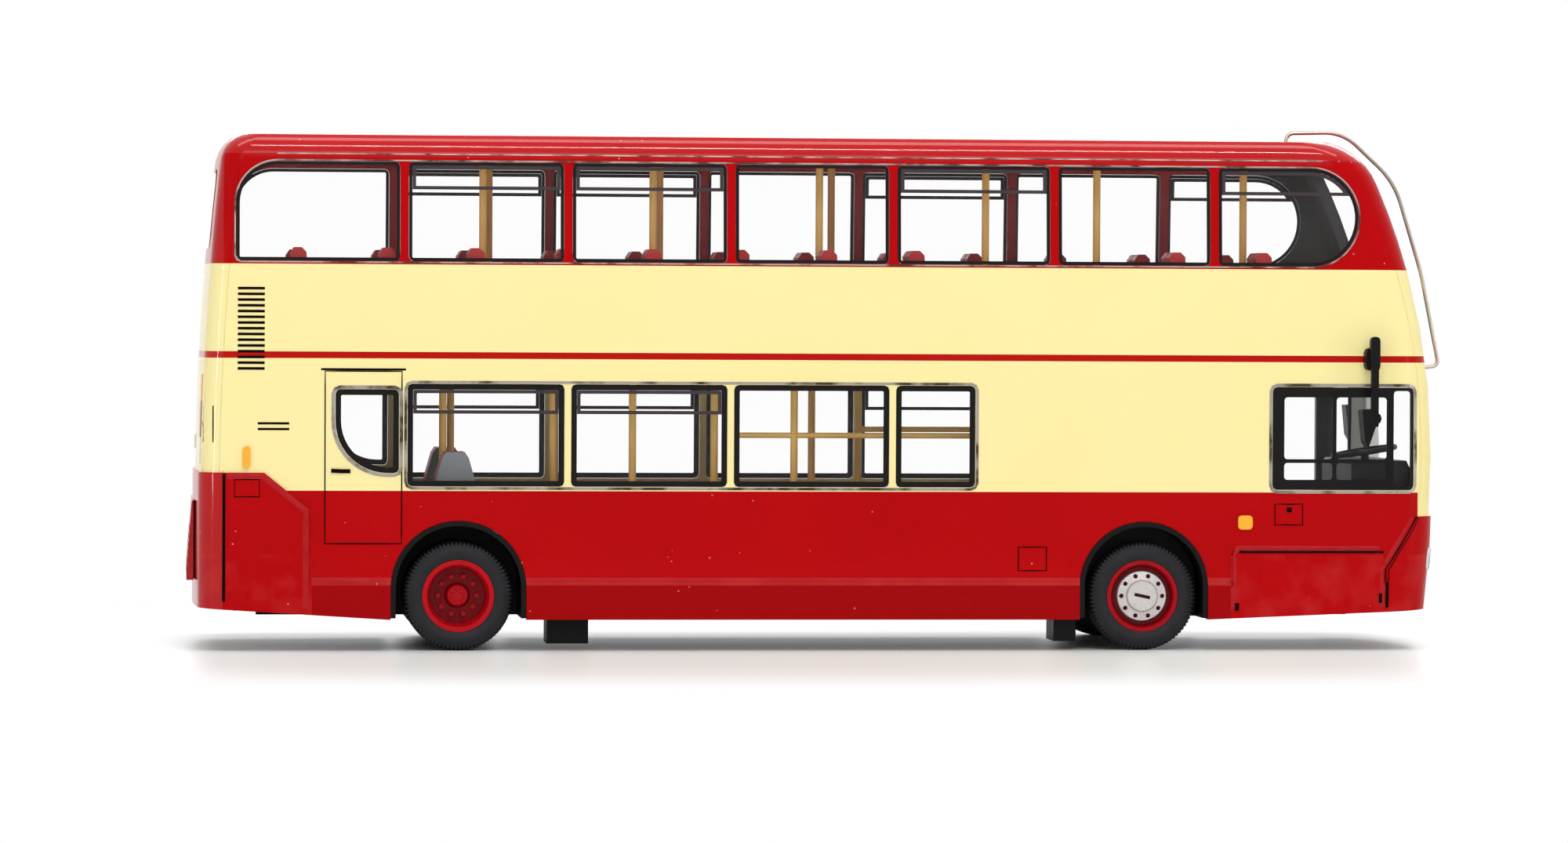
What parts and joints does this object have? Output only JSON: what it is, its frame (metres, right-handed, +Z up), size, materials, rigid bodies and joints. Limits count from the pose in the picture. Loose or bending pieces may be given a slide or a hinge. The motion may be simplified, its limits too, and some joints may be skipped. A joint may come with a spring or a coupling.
{
  "type": "scale model double decker bus",
  "caption": "Die-cast scale model of a two-deck city bus with glazed saloons, moulded seats and handrails, and two axles whose wheels roll freely.",
  "frame": {"origin": "middle of the model's box at the ground under the tyres", "axes": "+X forward, +Y to the entrance side, +Z up; the driver's side is at -Y"},
  "size_m": [0.1348, 0.0394, 0.0557],
  "materials": {
    "red_paint": "gloss",
    "cream_paint": "gloss",
    "clear_glazing": "clear",
    "black_frame": "gloss",
    "grey_frame": "satin",
    "black_plastic": "satin",
    "floor_plastic": "matte",
    "seat_red": "matte",
    "rail_yellow": "satin",
    "bright_wire": "bright",
    "wheel_red": "satin",
    "trim_silver": "satin",
    "rubber": "matte",
    "lamp_clear": "clear",
    "lamp_red": "gloss",
    "lamp_amber": "gloss",
    "plate_white": "satin"
  },
  "bodies": {
    "body": {"roof_casting": "red_paint", "front_bumper": "red_paint", "rear_bumper": "red_paint", "engine_cover": "red_paint", "offside_casting": "cream_paint", "nearside_casting": "cream_paint", "front_casting": "cream_paint", "rear_casting": "cream_paint", "offside_upper_glazing": "clear_glazing", "offside_lower_glazing": "clear_glazing", "nearside_upper_glazing": "clear_glazing", "nearside_lower_glazing": "clear_glazing", "upper_windscreen": "clear_glazing", "lower_windscreen": "clear_glazing", "rear_window": "clear_glazing", "door_glazing": "clear_glazing", "window_frames": "black_frame", "entrance_doors": "black_frame", "destination_panel": "black_frame", "hopper_frames": "grey_frame", "chassis_base": "black_plastic", "front_arch_liners": "black_plastic", "rear_arch_liners": "black_plastic", "mirrors": "black_plastic", "wipers": "black_plastic", "screw_posts": "black_plastic", "driver_cab": "black_plastic", "driver_seat": "black_plastic", "steering_wheel": "black_plastic", "lower_floor": "floor_plastic", "upper_floor": "floor_plastic", "staircase": "floor_plastic", "upper_seats": "seat_red", "lower_seats": "seat_red", "upper_handrails": "rail_yellow", "lower_handrails": "rail_yellow", "branch_guard": "bright_wire", "head_lamps": "lamp_clear", "rear_lamps": "lamp_red", "amber_lamps": "lamp_amber", "number_plates": "plate_white"},
    "front_axle": {"front_axle_pin": "bright_wire", "front_rims": "wheel_red", "front_trims": "trim_silver", "front_tyres": "rubber"},
    "rear_axle": {"rear_axle_pin": "bright_wire", "rear_rims": "wheel_red", "rear_tyres": "rubber"}
  },
  "joints": [
    {"name": "front_axle_roll", "type": "hinge", "parent": "body", "child": "front_axle", "pos_m": [0.034, 0, 0.00575], "axis": [0, 1, 0], "continuous": true},
    {"name": "rear_axle_roll", "type": "hinge", "parent": "body", "child": "rear_axle", "pos_m": [-0.0389, 0, 0.00575], "axis": [0, 1, 0], "continuous": true}
  ]
}
